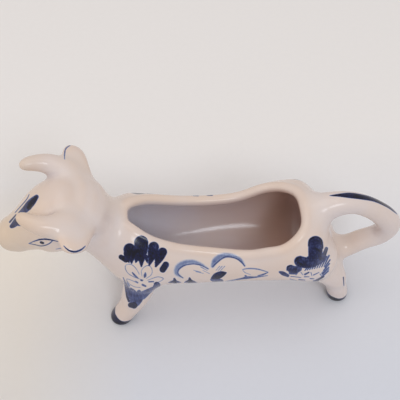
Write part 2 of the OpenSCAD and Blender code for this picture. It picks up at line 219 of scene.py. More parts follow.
def rim_line():
    turn = (np.arange(RIM_STEPS) + 0.5) * 2 * math.pi / RIM_STEPS
    along = (1 - np.cos(turn)) / 2
    half = smooth_rows([(s,) for s in OPENING_SHARES], along)[:, 0] * OPENING_W / 2
    x = CHEST_X + OPENING_START + OPENING_LEN * along
    y = half * np.sign(np.sin(turn)) * np.abs(np.sin(turn))**OPENING_BLUNT - OPENING_LEAN * along**2
    return np.stack([x, y, wall_height(x, y)], -1)


def rim_loft(radius):
    line = rim_line()
    travel = unit(np.roll(line, -1, 0) - np.roll(line, 1, 0))
    side = unit(np.cross([0, 0, 1], travel))
    up = np.cross(travel, side)
    c, s = section(2)
    ring = side[:, None] * c[None, :, None] + up[:, None] * s[None, :, None]
    return loft(line[:, None] + radius * ring, True)


def opening_loft():
    """Solid of the cut: a level face inside the hollow that opens square to the wall."""
    line = rim_line()
    middle = CHEST_X + OPENING_START + OPENING_LEN / 2
    level = np.full(RIM_STEPS, WIDEST_Z)
    floor = np.stack([middle + (line[:, 0] - middle) * FLOOR_SHARE, line[:, 1] * FLOOR_SHARE, level], -1)
    out = unit(np.stack([np.zeros(RIM_STEPS), line[:, 1], line[:, 2] - WIDEST_Z], -1))
    return loft(np.stack([floor, line - out * WALL, line + out * CUT_RISE]))


rim = rim_line()
print("rim runs from z =", rim[:, 2].min().round(1), "to", rim[:, 2].max().round(1), "mm")

# %% [markdown]
# ## Neck and head
# The neck is short and thick, and the face slopes down to a muzzle that pours. The hollow of the trunk
# runs on through the neck and the face to the hole between the lips. Each member's stations are shares of
# the driving sizes, so a longer head or a thicker leg needs one changed number.

# %% Neck, face and the milk passage
def head_x(share):
    return CHEST_X - share * HEAD_REACH


NECK_SHARES = [(-0.33, 0.542, 0.62, 0.62), (-0.175, 0.63, 0.55, 0.55), (-0.044, 0.708, 0.485, 0.48),
               (0.088, 0.792, 0.485, 0.48), (0.197, 0.865, 0.465, 0.44)]
FACE_SHARES = [(0.064, 0.896, 0.355, 0.38), (0.217, 0.88, 0.5, 0.483), (0.43, 0.823, 0.484, 0.5),
               (0.693, 0.748, 0.36, 0.332), (0.851, 0.712, 0.275, 0.256), (1, 0.686, 0.22, 0.22)]
NECK_ROWS = np.array([(head_x(x), 0, z * CROWN_H, w * NECK_W, d * NECK_D) for x, z, w, d in NECK_SHARES])
FACE_ROWS = np.array([(head_x(x), 0, z * CROWN_H, w * HEAD_W, d * HEAD_D) for x, z, w, d in FACE_SHARES])


def thinner(rows, amount):
    return rows - np.array([0, 0, 0, amount, amount])


def rod(a, b, radius):
    rows = [(*a, radius, radius), (*b, radius, radius)]
    return path_loft(rows, (0, 1, 0), count=12)


bore_aim = unit(FACE_ROWS[-1, :3] - FACE_ROWS[-3, :3])
bore_start = FACE_ROWS[-3, :3]
print("the mouth pours towards", bore_aim.round(2))

# %% Horns, ears, legs and tail
def horn_rows(side):
    root = np.array([head_x(0.195), side * 0.306 * HEAD_W, 0.927 * CROWN_H])
    shares = [(0, 0, 0, 0.55), (-0.11, 0.2, 0.14, 0.51), (-0.41, 0.32, 0.3, 0.4), (-0.7, 0.27, 0.43, 0.3),
              (-0.94, 0.145, 0.52, 0.225)]
    return [(*(root + HORN_LEN * np.array([x, side * y, z])), r * HORN_D, r * HORN_D)
            for x, y, z, r in shares]


EAR_TILT = (1, 0, -0.45)  # the leaf hangs a little forward
FAR_EAR_SHARE = 0.85  # the right ear is narrower


def ear_rows(side):
    shares = [(0.1, 0.3, 0.88, 0.6, 0.75), (0.13, 0.6, 0.933, 0.58, 0.52), (0.16, 0.8, 0.957, 0.57, 0.43),
              (0.178, 0.93, 0.961, 0.45, 0.37), (0.185, 1, 0.957, 0.32, 0.32)]
    width = EAR_W * (1 if side < 0 else FAR_EAR_SHARE)
    return [(head_x(x), side * y * EAR_REACH, z * CROWN_H, w * width, t * EAR_T) for x, y, z, w, t in shares]


FORE_SEAT_SHARE = 0.13  # place of the forelegs along the trunk
FORELEG_SHARES = [(-0.5, 0.75, 1.8, 0.6, 0), (0, 0.9, 1, 0.5, 0), (0.32, 0.96, 0.6, 0.25, 0.23),
                  (0.7, 1, 0.3, 0, 0.5), (1, 1, 0.04, 0, 0.51), (1, 1, 0, 0, 0.46)]
HINDLEG_SHARES = [(-1.5, 0.75, 1.75, 0.7, 0), (0.12, 0.98, 1, 0.43, 0), (0.62, 1.02, 0.6, 0.15, 0.27),
                  (0.9, 1.02, 0.3, 0, 0.49), (1.02, 1, 0.04, 0, 0.49), (1.02, 1, 0, 0, 0.44)]
SHOULDER_SHARES = [(-0.6, 0.6, 1.9, 0.58, 0), (-0.3, 0.78, 1.65, 0.54, 0), (-0.05, 0.88, 1.42, 0.48, 0)]
HAUNCH_SHARES = [(-1.6, 0.75, 1.8, 0.66, 0), (-0.9, 0.9, 1.62, 0.6, 0), (-0.4, 0.98, 1.45, 0.49, 0)]


def leg_rows(end, side, shares):
    """Rows of x, y, z and radius: end is 1 at the front and -1 at the rear, side is -1 at the left."""
    front = end > 0
    stride = HIND_STRIDE if not front else -(LEFT_FORE_STRIDE if side < 0 else RIGHT_FORE_STRIDE)
    seat_x = CHEST_X + TRUNK_LEN * (FORE_SEAT_SHARE if front else 1)
    stance = FORE_STANCE if front else HIND_STANCE
    seat_d = FORELEG_D if front else HINDLEG_D
    return [(seat_x + a * stride, side * b * stance / 2, c * LEG_H, d * seat_d + e * HOOF_D,
             d * seat_d + e * HOOF_D) for a, b, c, d, e in shares]


TAIL_SHARES = [(-0.35, 0.744, 0.72), (-0.07, 0.884, 0.56), (0.253, 0.885, 0.45), (0.59, 0.7, 0.45),
               (0.85, 0.43, 0.52), (0.8, 0.2, 0.47), (0.55, 0.09, 0.46), (0.253, -0.03, 0.52),
               (-0.3, 0.08, 0.66)]
TAIL_RISE = TAIL_H - TAIL_FOOT_H
TAIL_ROWS = [(RUMP_X + x * TAIL_REACH, 0, TAIL_FOOT_H + z * TAIL_RISE, r * TAIL_D, r * TAIL_D)
             for x, z, r in TAIL_SHARES]
print("members: 2 horns, 2 ears, 4 legs, 1 tail")

# %% [markdown]
# ## Distance fields
# A distance field holds, at each point of a grid, how far the nearest surface is: negative inside the
# clay and positive outside. Two members melt together where their fields are blended, and the width of
# the blend is the size of the fillet that wet slip leaves in the corner.

# %% Grid and blends
VOXEL = 0.62
BAND = 9.0
MARGIN, HALF_ROOM, ROOM_H = 8.0, 38.0, 111.0
LOW = np.floor(np.array([MUZZLE_X - MARGIN, -HALF_ROOM, -MARGIN]) / VOXEL).astype(int)
HIGH = np.ceil(np.array([-MUZZLE_X + MARGIN, HALF_ROOM, ROOM_H]) / VOXEL).astype(int)
SHAPE = tuple(HIGH - LOW)


def field(shape):
    """Signed distance in mm to a loft, for each point of the grid."""
    points, triangles = shape
    grid = openvdb.FloatGrid.createLevelSetFromPolygons(
        points.astype(np.float32), triangles=triangles.astype(np.uint32),
        transform=openvdb.createLinearTransform(voxelSize=VOXEL), halfWidth=BAND / VOXEL)
    values = np.full(SHAPE, BAND, np.float32)
    grid.copyToArray(values, ijk=tuple(int(v) for v in LOW))
    return values


def melt(a, b, width):
    """Union with a fillet of that width."""
    near = np.maximum(width - np.abs(a - b), 0) / width
    return np.minimum(a, b) - near * near * width / 4


def carve(a, b, width):
    """What is left of a outside b, with the edge rounded by that width."""
    return -melt(-a, b, width)


def ball_chain(rows):
    """Field of balls along a row of x, y, z and radius, drawn out to their neighbours."""
    return field(path_loft(rows, (0, 1, 0.1), start_round=0.3, tip_round=0.3, count=40))


print("grid of", SHAPE, "points,", round(VOXEL, 2), "mm apart")

# %% [markdown]
# ## Melting the members together
# Legs, muscles and the tail leave broad fillets, because the clay was pressed on with a wet finger. Horns
# are small and were set on last, so theirs are tight. A bevel can't round a corner between two curved
# members, but a blend of their fields can.

# %% Outer form
LEG_FILLET, NECK_FILLET = 4.5, 4.5
trunk = field(trunk_loft(0))
neck = field(path_loft(NECK_ROWS, (0, -1, 0)))
face = field(path_loft(FACE_ROWS, (0, -1, 0), start_round=0.2, tip_round=0.18))
for end in (1, -1):
    for side in (-1, 1):
        leg = field(path_loft(leg_rows(end, side, FORELEG_SHARES if end > 0 else HINDLEG_SHARES),
                              (1, 0, 0), level=True, count=60))
        muscle = ball_chain(leg_rows(end, side, SHOULDER_SHARES if end > 0 else HAUNCH_SHARES))
        trunk = melt(trunk, melt(leg, muscle, LEG_FILLET), LEG_FILLET)
outer = melt(trunk, neck, NECK_FILLET)
print("trunk, neck and legs melted")

# %% Head with its brows, cheeks and lips
POLL_FILLET, HEAD_FILLET, HORN_FILLET, EAR_FILLET = 2.0, 4.0, 3.0, 5.0
THROAT_FILLET, TAIL_FILLET = 5.5, 8.0


def bulge_field(stations, side):
    rows = [(head_x(x), side * y * HEAD_W, z * CROWN_H, r * HEAD_D, r * HEAD_D) for x, y, z, r in stations]
    return ball_chain(rows)


POLL_SHARES = [(0.3, 0.27, 0.94, 0.17), (0.3, 0, 0.95, 0.19), (0.3, -0.27, 0.94, 0.17)]
NAPE_SHARES = [(0.2, 0.1, 0.928, 0.27), (0.1, 0.12, 0.893, 0.27), (0, 0.12, 0.832, 0.27)]
BROW_SHARES = [(0.4, 0.34, 0.875, 0.15), (0.48, 0.33, 0.85, 0.14), (0.56, 0.3, 0.82, 0.12)]
CHEEK_SHARES = [(0.3, 0.3, 0.8, 0.2), (0.4, 0.28, 0.77, 0.19), (0.5, 0.25, 0.74, 0.17)]
LIP_SHARES = [(0.72, 0.18, 0.71, 0.13), (0.84, 0.12, 0.7, 0.12), (0.93, 0.05, 0.69, 0.11)]
head = melt(face, bulge_field(POLL_SHARES, 1), POLL_FILLET)
for side in (-1, 1):
    for stations in (NAPE_SHARES, BROW_SHARES, CHEEK_SHARES, LIP_SHARES):
        head = melt(head, bulge_field(stations, side), HEAD_FILLET)
    head = melt(head, field(path_loft(horn_rows(side), (0, 0, 1), tip_round=0.2)), HORN_FILLET)
    head = melt(head, field(path_loft(ear_rows(side), EAR_TILT, tip_round=0.3)), EAR_FILLET)
outer = melt(outer, head, THROAT_FILLET)
outer = melt(outer, field(path_loft(TAIL_ROWS, (0, 1, 0), count=160)), TAIL_FILLET)
print("head, horns, ears and tail melted")

# %% [markdown]
# ## Hollowing it out
# The hollow is the same trunk, neck and face again, thinner by the clay wall. The opening cuts the back
# away, and a bead laid along the cut edge gives the rolled rim.

# %% Hollow, opening, mouth and rim
HOLLOW_FILLET, MOUTH_FILLET, EDGE_ROUND, RIM_FILLET = 4.0, 2.0, 1.2, 1.0
MOUTH_REACH = 30.0
hollow = field(trunk_loft(WALL))
hollow = melt(hollow, field(path_loft(thinner(NECK_ROWS, WALL), (0, -1, 0))), HOLLOW_FILLET)
face_hollow = path_loft(thinner(FACE_ROWS, WALL), (0, -1, 0), start=0.1, end=0.82, start_round=0.2)
hollow = melt(hollow, field(face_hollow), HOLLOW_FILLET)
cut = field(opening_loft())
mouth = field(rod(bore_start, bore_start + bore_aim * MOUTH_REACH, MOUTH_R))
clay = carve(outer, melt(hollow, mouth, MOUTH_FILLET), EDGE_ROUND)
clay = carve(clay, cut, EDGE_ROUND)
clay = melt(clay, field(rim_loft(RIM_R)), RIM_FILLET)
print("hollow and rim done")

# %% Let the glaze round every edge
def soften(values, rounds):
    """Average with the neighbours on the grid, the way thick glaze rounds what is under it."""
    for _ in range(rounds):
        for axis in range(3):
            values = (np.roll(values, 1, axis) + 2 * values + np.roll(values, -1, axis)) / 4
    return values


GLAZE_ROUNDS = 2
clay = soften(clay, GLAZE_ROUNDS)
floor_level = (np.arange(SHAPE[2]) + LOW[2]) * VOXEL
clay = np.maximum(clay, -floor_level[None, None, :].astype(np.float32))
print("share of the grid inside the clay:", round(float((clay < 0).mean()), 3))

# %% [markdown]
# ## One skin round the clay
# The surface is where the distance is zero. The points that the mesher gives are then pulled onto the
# field along its slope, and the slope itself is kept as the direction of the surface. So the highlights
# run over the seats between pieces without a break.

# %% Read the field between grid points
def sample(values, points):
    """Value of the field at the points, in mm, blended between the eight grid points round each."""
    place = points / VOXEL - LOW
    base = np.clip(np.floor(place).astype(int), 0, np.array(SHAPE) - 2)
    f = np.clip(place - base, 0, 1)
    total = 0
    for corner in range(8):
        d = np.array([corner & 1, (corner >> 1) & 1, (corner >> 2) & 1])
        weight = np.prod(np.where(d, f, 1 - f), axis=1)
        i = base + d
        total = total + weight * values[i[:, 0], i[:, 1], i[:, 2]]
    return total


def slope(values, points, reach=0.8):
    """Direction in which the field grows fastest at the points."""
    g = np.empty_like(points)
    for axis in range(3):
        step = np.zeros(3)
        step[axis] = reach
        g[:, axis] = sample(values, points + step) - sample(values, points - step)
    return g / (2 * reach)


def settle(values, points, rounds=3):
    """Pull the points onto the surface."""
    for _ in range(rounds):
        g = slope(values, points)
        size = np.maximum((g * g).sum(1), 0.2)
        shift = (sample(values, points) / size)[:, None] * g
        points = points - np.clip(shift, -VOXEL, VOXEL)
    return points


# %% Draw the skin
grid = openvdb.FloatGrid(BAND)
grid.copyFromArray(clay.astype(np.float32), ijk=tuple(int(v) for v in LOW))
grid.transform = openvdb.createLinearTransform(voxelSize=VOXEL)
skin_points, skin_quads = grid.convertToQuads(isovalue=0)
skin_points = settle(clay, skin_points.astype(float))
skin_points[:, 2] = np.maximum(skin_points[:, 2], 0)
a, b, c = (skin_points[skin_quads[:, k].astype(int)] for k in (0, 1, 2))
outward = slope(clay, (a + c) / 2)
if (np.cross(b - a, c - a) * outward).sum() < 0:
    skin_quads = skin_quads[:, ::-1]
print("skin of", len(skin_points), "points and", len(skin_quads), "faces")

# %% [markdown]
# ## Seats between the members
# The painter never saw the seats, but the library wants each member as a piece of its own. A straight
# cut through the skin gives them a clean edge. On the horns, the ears and the tail it lies a little
# further out than the seat of the solid, where the fillet has ended and the edge is short. Both sides of a
# cut share their points and their surface directions, so the glaze still looks like one.

# %% Where the seats are
def seat(rows, share, radius):
    """Point on the path, its direction towards the far end, and the reach of the cut."""
    rows = np.asarray(rows, float)
    here = smooth_rows(rows, [share])[0, :3]
    ahead, behind = (smooth_rows(rows, [share + d])[0, :3] for d in (0.02, -0.02))
    return here, unit(ahead - behind), radius


NECK_CUT, HORN_CUT, EAR_CUT, TAIL_CUT, WHOLE_COW = 26, 8, 9, 9, 1000  # reach of each cut from its middle
NECK_SEAT_SHARE, LIMB_SEAT_SHARE, TAIL_SEAT_SHARES = 0.6, 0.52, (0.2, 0.84)
SEATS = {"head": seat(NECK_ROWS, NECK_SEAT_SHARE, NECK_CUT)}
for side, word in ((-1, "left"), (1, "right")):
    SEATS[word + "_horn"] = seat(horn_rows(side), LIMB_SEAT_SHARE, HORN_CUT)
    SEATS[word + "_ear"] = seat(ear_rows(side), LIMB_SEAT_SHARE, EAR_CUT)
TAIL_SEATS = [seat(TAIL_ROWS, share, TAIL_CUT) for share in TAIL_SEAT_SHARES]
leg_seat = (np.array([0.0, 0.0, LEG_H]), np.array([0.0, 0.0, -1.0]), WHOLE_COW)
print("neck seat at", SEATS["head"][0].round(1), "mm")

# %% Cut the skin at the seats
NEAR_CUT, SAME_PLACE = 2.5, 0.02
skin = bmesh.new()
corners = [skin.verts.new(p) for p in skin_points]
for quad in skin_quads.tolist():
    skin.faces.new([corners[k] for k in quad])
for point, direction, radius in [*SEATS.values(), *TAIL_SEATS, leg_seat]:
    p, n = Vector(point), Vector(direction)
    near = [f for f in skin.faces
            if abs((f.verts[0].co - p).dot(n)) < NEAR_CUT and (f.verts[0].co - p).length < radius]
    near_parts = list({e for f in near for e in f.edges}) + list({v for f in near for v in f.verts}) + near
    bmesh.ops.bisect_plane(skin, geom=near_parts, plane_co=p, plane_no=n, dist=SAME_PLACE)
print("after the cuts:", len(skin.faces), "faces")

# %% Which member a face belongs to
OWN_SKIN = 2.5  # a point this near a member's own loft can be its skin
THROAT_END, RUMP_START, TAIL_MIDDLE_H = CHEST_X + 13, RUMP_X - 2, 50.0
LIMB_START, TAIL_START, TAIL_END = 0.42, 0.1, 0.9  # shares at which the lofts without a root begin and end
horn_only, ear_only = {}, {}
for side, word in ((-1, "left"), (1, "right")):
    horn_only[word] = field(path_loft(horn_rows(side), (0, 0, 1), LIMB_START, tip_round=0.2))
    ear_only[word] = field(path_loft(ear_rows(side), EAR_TILT, LIMB_START, tip_round=0.3))
tail_only = field(path_loft(TAIL_ROWS, (0, 1, 0), TAIL_START, TAIL_END, count=120))


def beyond(points, one_seat):
    return (points - one_seat[0]) @ one_seat[1] > 0


def members(points):
    """Name of the CAD node that each point belongs to."""
    names = np.full(len(points), "body_shell", dtype=object)
    x, y, z = points.T
    names[beyond(points, SEATS["head"]) & (x < THROAT_END)] = "head"
    for word, sign in (("left", -1), ("right", 1)):
        horn, ear = sample(horn_only[word], points), sample(ear_only[word], points)
        own_side = y * sign > 0
        past_horn_seat = own_side & beyond(points, SEATS[word + "_horn"])
        past_ear_seat = own_side & beyond(points, SEATS[word + "_ear"])
        names[past_horn_seat & (horn < OWN_SKIN) & (horn <= ear)] = word + "_horn"
        names[past_ear_seat & (ear < OWN_SKIN) & (ear < horn)] = word + "_ear"
        names[own_side & (z < LEG_H) & (x < 0)] = "front_" + word + "_leg"
        names[own_side & (z < LEG_H) & (x > 0)] = "rear_" + word + "_leg"
    upper, lower = TAIL_SEATS
    past_seats = np.where(z > TAIL_MIDDLE_H, beyond(points, upper), ~beyond(points, lower))
    names[(x > RUMP_START) & past_seats & (sample(tail_only, points) < OWN_SKIN)] = "tail_handle"
    return names


centres = np.array([f.calc_center_median() for f in skin.faces])
found, counts = np.unique(members(centres).astype(str), return_counts=True)
print(dict(zip(found.tolist(), counts.tolist())))

# %% [markdown]
# ## The painting
# The decoration is cobalt blue under the glaze: broad dark petals, soft blue-grey arcs, fine outlines
# and a dark band round each hoof. On the real cow it is put on with a loaded brush, so it is built here
# as brush strokes: a row of points with the half width of the brush at each.
# The strokes are laid out as a painter sees the cow from above and from its left, through one fixed
# eye point. A stroke's numbers are places on that view, in steps of about half a millimetre. The same
# strokes are mirrored onto the cow's right side. The amount of pigment is kept in the skin's points, so
# it needs no picture.

# %% The painter's eye
EYE = np.array([-21.39, -170.17, 325.88])
EYE_TURN, EYE_RISE = math.radians(6), math.radians(55)
VIEW_RIGHT = np.array([math.cos(EYE_TURN), -math.sin(EYE_TURN), 0.0])
VIEW_BACK = np.array([-math.sin(EYE_TURN) * math.cos(EYE_RISE), -math.cos(EYE_TURN) * math.cos(EYE_RISE),
                      math.sin(EYE_RISE)])
VIEW_UP = np.cross(VIEW_BACK, VIEW_RIGHT)
VIEW_STEPS = 660.0
VIEW_MIDDLE = 200.0


def view_places(points):
    """Where the painter sees the points: steps from the left and from the top of the view."""
    d = points - EYE
    depth = -(d @ VIEW_BACK)
    return np.stack([VIEW_MIDDLE + VIEW_STEPS * (d @ VIEW_RIGHT) / depth,
                     VIEW_MIDDLE - VIEW_STEPS * (d @ VIEW_UP) / depth], -1)


def faces_eye(points, normals):
    return (normals * unit(EYE - points)).sum(1)


print("the painter's eye is", round(float(np.linalg.norm(EYE)), 0), "mm from the cow's middle")

# %% Strokes on the shoulder: strength, softness of the edge, and x, y, half width along the brush
SHOULDER = [
    (0.94, 0.7, [(141.2, 242.6, 7), (141.4, 251, 6), (141.4, 266.5, 0.7)]),
    (0.98, 0.7, [(129.6, 249.4, 6.1), (131.2, 255, 4.4), (131.6, 263.4, 0.6)]),
    (0.96, 0.7, [(134.6, 252, 4.4), (135.6, 256, 2.6), (135.8, 262.5, 0.5)]),
    (0.95, 0.7, [(126.6, 253.4, 3), (127.6, 257, 2.8), (129, 262.4, 0.6)]),
    (0.93, 0.6, [(121, 257, 2.4), (126, 259.8, 2.8)]),
    (0.9, 0.7, [(153.7, 247, 5.3), (152.4, 254, 4.7), (149.2, 265.4, 0.8)]),
    (0.92, 0.6, [(162.6, 252, 4.5), (159.2, 258, 4.3), (155.8, 266.4, 1)]),
    (0.9, 0.6, [(165.8, 264.8, 3.3), (162.8, 269.4, 3.3)]),
    (0.95, 0.6, [(138, 258, 2), (136.6, 262, 0.4)]),
    (0.9, 0.6, [(146, 257, 2.4), (147.4, 263, 0.4)]),
    (0.42, 0.45, [(143.2, 280, 0.35), (135, 277.4, 0.4), (128.4, 273.6, 0.4), (125.3, 268.4, 0.45),
                  (126.4, 264.8, 0.45), (131.6, 264.6, 0.45), (136, 268.6, 0.4), (139.4, 274.4, 0.35)]),
    (0.42, 0.45, [(142, 276.2, 0.35), (141.4, 271, 0.4), (144.6, 266.8, 0.45), (149, 265.6, 0.45),
                  (152, 269.4, 0.45), (151.4, 274.6, 0.4), (146.4, 278.4, 0.35)]),
    (0.4, 0.45, [(147.6, 280.4, 0.35), (152, 278.6, 0.4), (158, 276.8, 0.45), (163.4, 278.6, 0.45),
                 (159.6, 281.6, 0.4), (153.6, 283.2, 0.35)]),
    (0.4, 0.45, [(138, 283.4, 0.35), (132.6, 280.8, 0.4), (126.8, 279, 0.45), (128.4, 283, 0.4),
                 (134, 286.6, 0.4), (140.4, 287.6, 0.35)]),
    (0.6, 0.5, [(132.4, 272.6, 0.6), (135, 275.6, 1), (138.2, 278.4, 0.6)]),
    (0.62, 0.5, [(145.4, 273, 0.8), (145, 275.6, 1.5), (144.6, 277.2, 0.7)]),
    (0.7, 0.45, [(141, 280.2, 0.9), (142.2, 280.4, 0.9)]),
    (0.5, 0.5, [(135.6, 281.6, 0.9), (137.6, 282.6, 0.8)]),
    (0.55, 0.5, [(149, 281.8, 0.8), (153.6, 281.6, 0.6)]),
    (0.55, 0.5, [(142.6, 284.8, 1.1), (145.6, 286.2, 0.9)]),
    (0.5, 0.5, [(123.2, 277.6, 0.5), (126, 284.4, 0.9)]),
    (0.5, 0.5, [(127, 282.6, 0.4), (129.4, 286, 0.7)]),
    (0.66, 0.8, [(124.4, 281.4, 0.5), (127, 288, 2.2), (129.4, 296, 3)]),
    (0.62, 0.8, [(130.6, 289.6, 2), (133.6, 294.6, 4.2), (134.4, 300.6, 4.4)]),
    (0.66, 0.8, [(139, 292, 2.2), (138.6, 298, 4.4), (136.4, 302.6, 3.8)]),
    (0.62, 0.8, [(155, 287, 1.3), (149.6, 290.6, 2.5), (142.6, 295.4, 4.2)]),
    (0.82, 0.6, [(125.4, 288, 0.6), (126.8, 296, 0.8), (129, 301, 1.3)]),
    (1.0, 0.7, [(130.6, 305, 2.6), (134, 305.2, 3.4)]),
    (0.72, 0.7, [(154.6, 286.4, 1.6), (157, 285, 2.6)]),
    (0.85, 0.5, [(154, 285.4, 0.5), (155.4, 282.8, 0.6), (158, 282.6, 0.6), (159.8, 284.8, 0.6),
                 (158, 287.4, 0.6), (154.6, 288, 0.5)])]
print("shoulder:", len(SHOULDER), "strokes")

# %% Strokes of the middle flower
FLANK = [
    (0.4, 3.0, [(181, 277, 0.8), (176.3, 273, 2), (177.8, 267, 2.6), (184, 262.8, 2.4), (192, 261.6, 2),
                (200, 263.8, 1.5), (207.8, 268.4, 0.6)]),
    (0.64, 0.7, [(183, 278, 0.5), (178, 274, 0.8), (178.7, 269.5, 0.8), (184.5, 265.4, 0.7),
                 (193, 263.9, 0.6), (201, 265.3, 0.6), (208.2, 268.9, 0.6)]),
    (0.44, 3.0, [(212.6, 266, 1.8), (215, 260.4, 2.6), (220.6, 256.4, 2.6), (228, 255, 2),
                 (235.6, 256.6, 1.5), (241.4, 260.6, 1.2), (244.6, 265.6, 0.7)]),
    (0.68, 0.7, [(212.6, 266.8, 0.8), (217.2, 262.4, 0.7), (223.5, 257.6, 0.8), (229, 256.8, 0.7),
                 (236.5, 258.6, 0.7), (242, 262.6, 0.8), (244.6, 266, 0.6)]),
    (0.45, 0.5, [(193.7, 270.2, 0.3), (200.6, 272.1, 0.4)]),
    (0.45, 0.5, [(200.6, 266.8, 0.5), (207.4, 270.6, 0.3)]),
    (0.4, 0.5, [(202.8, 270.4, 0.3), (209.7, 273.7, 0.3)]),
    (0.4, 0.5, [(196, 271.6, 0.5), (203.4, 273.4, 0.3)]),
    (0.45, 0.5, [(219.7, 266.2, 0.4), (216, 270.4, 0.3)]),
    (0.45, 0.5, [(222.2, 266.2, 0.4), (218, 270.8, 0.3)]),
    (0.45, 0.5, [(224.8, 266.2, 0.4), (220.4, 270.8, 0.3)]),
    (0.95, 0.6, [(212, 278, 1), (216.6, 276.2, 3.4), (221.4, 274.2, 3), (226, 272.8, 0.7)]),
    (0.7, 0.7, [(211.4, 279.6, 1.2), (216, 280.4, 2.4), (222, 280.6, 1.2)]),
    (0.45, 0.7, [(242.6, 269.5, 0.4), (248.8, 268.5, 0.7), (257.9, 269.2, 0.7), (267.9, 272.1, 0.5)]),
    (0.4, 0.6, [(242.6, 269.8, 0.3), (245, 272.6, 0.4), (250.5, 274.6, 0.3)]),
    (0.6, 0.7, [(267.9, 272.5, 0.4), (263.3, 274.4, 0.8), (257.9, 275.8, 0.5)]),
    (0.75, 0.7, [(168.6, 282.6, 0.3), (174.4, 281.6, 1.5), (180.8, 282.4, 0.3)]),
    (0.85, 0.6, [(174.4, 279, 1.1), (175, 281.4, 2.2)]),
    (0.75, 0.7, [(184.4, 282.4, 0.3), (190, 281.2, 1.7), (196.6, 282.6, 0.3)]),
    (0.85, 0.6, [(189.6, 278.2, 0.9), (190, 281, 2.4)]),
    (0.6, 0.7, [(225.8, 281.4, 0.4), (240.3, 278.9, 0.8), (247, 277.6, 1.4), (255, 277.2, 0.8),
                (267.6, 275.6, 0.3)]),
    (0.6, 0.6, [(245.2, 275.8, 0.8), (246.2, 276, 0.8)])]
print("flank:", len(FLANK), "strokes")

# %% Strokes on the haunch
HAUNCH = [
    (0.8, 0.8, [(315.6, 243.2, 6.9), (315.4, 250, 7.2), (315.2, 256, 6.8)]),
    (0.97, 0.9, [(308.8, 246, 0.8), (309.6, 240.4, 1), (313.4, 237.4, 1), (318, 237.4, 1),
                 (321.6, 241, 1), (322.6, 248, 0.8)]),
    (0.97, 1.2, [(313, 248.6, 1.6), (318, 249.6, 1.4), (320, 252, 1)]),
    (0.84, 0.7, [(326.4, 248.6, 1.7), (324.6, 253.4, 2), (322, 258.6, 2.6)]),
    (0.84, 0.8, [(299.6, 261.4, 5.4), (305, 263, 5.2), (312, 262, 5.6)]),
    (1.0, 1.2, [(295.4, 261.6, 1), (297.4, 258.6, 1.4), (301, 257.4, 1.2)]),
    (1.0, 1.4, [(298, 262.4, 1.6), (301.4, 264.4, 1.8)]),
    (0.9, 1.2, [(300, 256.6, 0.8), (308, 258.6, 1), (318, 258.4, 0.8)]),
    (0.78, 0.8, [(311, 261.4, 6), (318.6, 259.4, 5), (322.6, 256.6, 3.4)]),
    (0.74, 0.7, [(290.6, 268.6, 3.8), (295, 269.8, 3.8), (299, 268.6, 3)]),
    (0.95, 0.8, [(287.2, 270, 0.8), (288, 266.8, 1), (291.6, 265.6, 0.7)]),
    (0.8, 0.7, [(279.6, 272, 0.9), (283, 273.4, 2), (287.8, 275.6, 1.5)]),
    (0.68, 0.7, [(290, 273, 1.4), (296, 272.8, 1.8)]),
    (0.42, 0.6, [(327.4, 269.4, 1.8), (323, 273.4, 1.8)])]
for k in range(9):
    HAUNCH.append((0.66, 0.5, [(329 - 2.4 * k, 255.6 + 1.1 * k, 0.95),
                               (324 - 2.4 * k, 266.6 + 0.5 * k, 0.5)]))
for k in range(4):
    HAUNCH.append((0.64, 0.5, [(330 - 0.6 * k, 259.8 + 3.8 * k, 0.7), (325 - 1.2 * k, 267 + 3.4 * k, 0.8)]))
HAUNCH_DASHES = [  # start, end, half width and strength
    (305, 274.4, 308.8, 272.4, 1, 0.72), (304.4, 276.8, 309, 276.8, 0.6, 0.6),
    (291, 276.4, 301, 277.5, 0.5, 0.6), (299, 279.6, 305, 280, 0.6, 0.55),
    (310.3, 278.6, 314, 278.8, 0.6, 0.6), (313.6, 275, 319, 272.4, 0.6, 0.55),
    (316.8, 280.3, 323.6, 276.6, 1.2, 0.8), (294, 282.4, 311, 282.8, 0.6, 0.55),
    (313.6, 281, 317.4, 280.2, 0.8, 0.65), (343.4, 277.4, 343.9, 285.4, 0.6, 0.9),
    (301, 272.4, 303, 275, 0.5, 0.5), (311, 272.6, 312, 276, 0.5, 0.5), (320, 274, 322.4, 277, 0.5, 0.5),
    (296, 275, 298, 272.6, 0.5, 0.45), (290, 279, 296, 280.4, 0.5, 0.45)]
for x0, y0, x1, y1, half, strength in HAUNCH_DASHES:
    HAUNCH.append((strength, 0.5, [(x0, y0, half), (x1, y1, half * 0.7)]))
print("haunch:", len(HAUNCH), "strokes")

